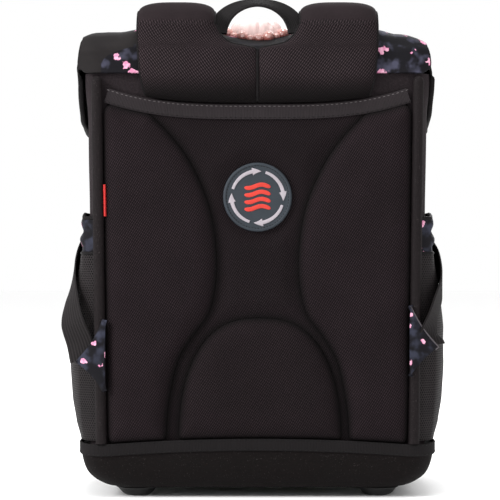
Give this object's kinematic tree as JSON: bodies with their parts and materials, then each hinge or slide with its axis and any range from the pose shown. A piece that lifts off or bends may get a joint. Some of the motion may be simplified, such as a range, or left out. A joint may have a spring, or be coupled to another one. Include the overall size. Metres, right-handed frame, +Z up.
{
  "type": "school ransel",
  "caption": "Stiff box-shaped school backpack with a full lid, padded back, side mesh pockets and straps thrown over the lid.",
  "frame": {"origin": "middle of the bag's footprint, on the surface that its feet stand on", "axes": "+Z up, -Y out of the padded back that lies against the wearer, +Y out of the lid's front, +X to the right as seen from behind the wearer's side of the bag"},
  "size_m": [0.3304, 0.2234, 0.4135],
  "materials": {
    "black_cloth": "plain black polyester",
    "base_cloth": "coated black cloth on the moulded base",
    "grosgrain": "ribbed grosgrain tape with stitch rows",
    "back_mesh": "fine air mesh, padded",
    "strap_mesh": "fine air mesh, padded",
    "pocket_mesh": "open mesh",
    "print_cloth": "charcoal print with grey-blue blotches and pink spots",
    "black_webbing": "woven ribbed webbing",
    "black_plastic": "matt black plastic",
    "badge_rubber": "blue-grey rubber with raised plain arcs",
    "red_tape": "plain red tape",
    "pearl": "pink pearl lustre",
    "organza": "pale pink translucent organza"
  },
  "bodies": {
    "root": {"back_panel": "back_mesh", "badge": "badge_rubber", "base": "base_cloth", "base_tape": "grosgrain", "body_shell": "black_cloth", "carry_handle": "black_webbing", "edge_roll_left": "black_cloth", "edge_roll_right": "black_cloth", "flap_clasp": "black_plastic", "flap_panel": "print_cloth", "flap_side_left": "black_cloth", "flap_side_right": "black_cloth", "foot_front_left": "black_plastic", "foot_front_right": "black_plastic", "foot_rear_left": "black_plastic", "foot_rear_right": "black_plastic", "lumbar_pad": "back_mesh", "organza_puff": "organza", "pearl_01": "pearl", "pearl_02": "pearl", "pearl_03": "pearl", "pearl_04": "pearl", "pearl_05": "pearl", "pearl_06": "pearl", "pearl_07": "pearl", "pearl_08": "pearl", "pearl_09": "pearl", "pearl_10": "pearl", "pearl_11": "pearl", "pearl_12": "pearl", "pearl_13": "pearl", "pocket_band_left": "print_cloth", "pocket_band_right": "print_cloth", "red_tag": "red_tape", "shoulder_strap_left": "strap_mesh", "shoulder_strap_right": "strap_mesh", "side_pocket_left": "pocket_mesh", "side_pocket_right": "pocket_mesh", "strap_buckle_left": "black_plastic", "strap_buckle_right": "black_plastic", "webbing_left": "black_webbing", "webbing_right": "black_webbing", "webbing_tab_left": "print_cloth", "webbing_tab_right": "print_cloth", "wing_pad_left": "back_mesh", "wing_pad_right": "back_mesh", "yoke_tape": "grosgrain"}
  },
  "joints": []
}
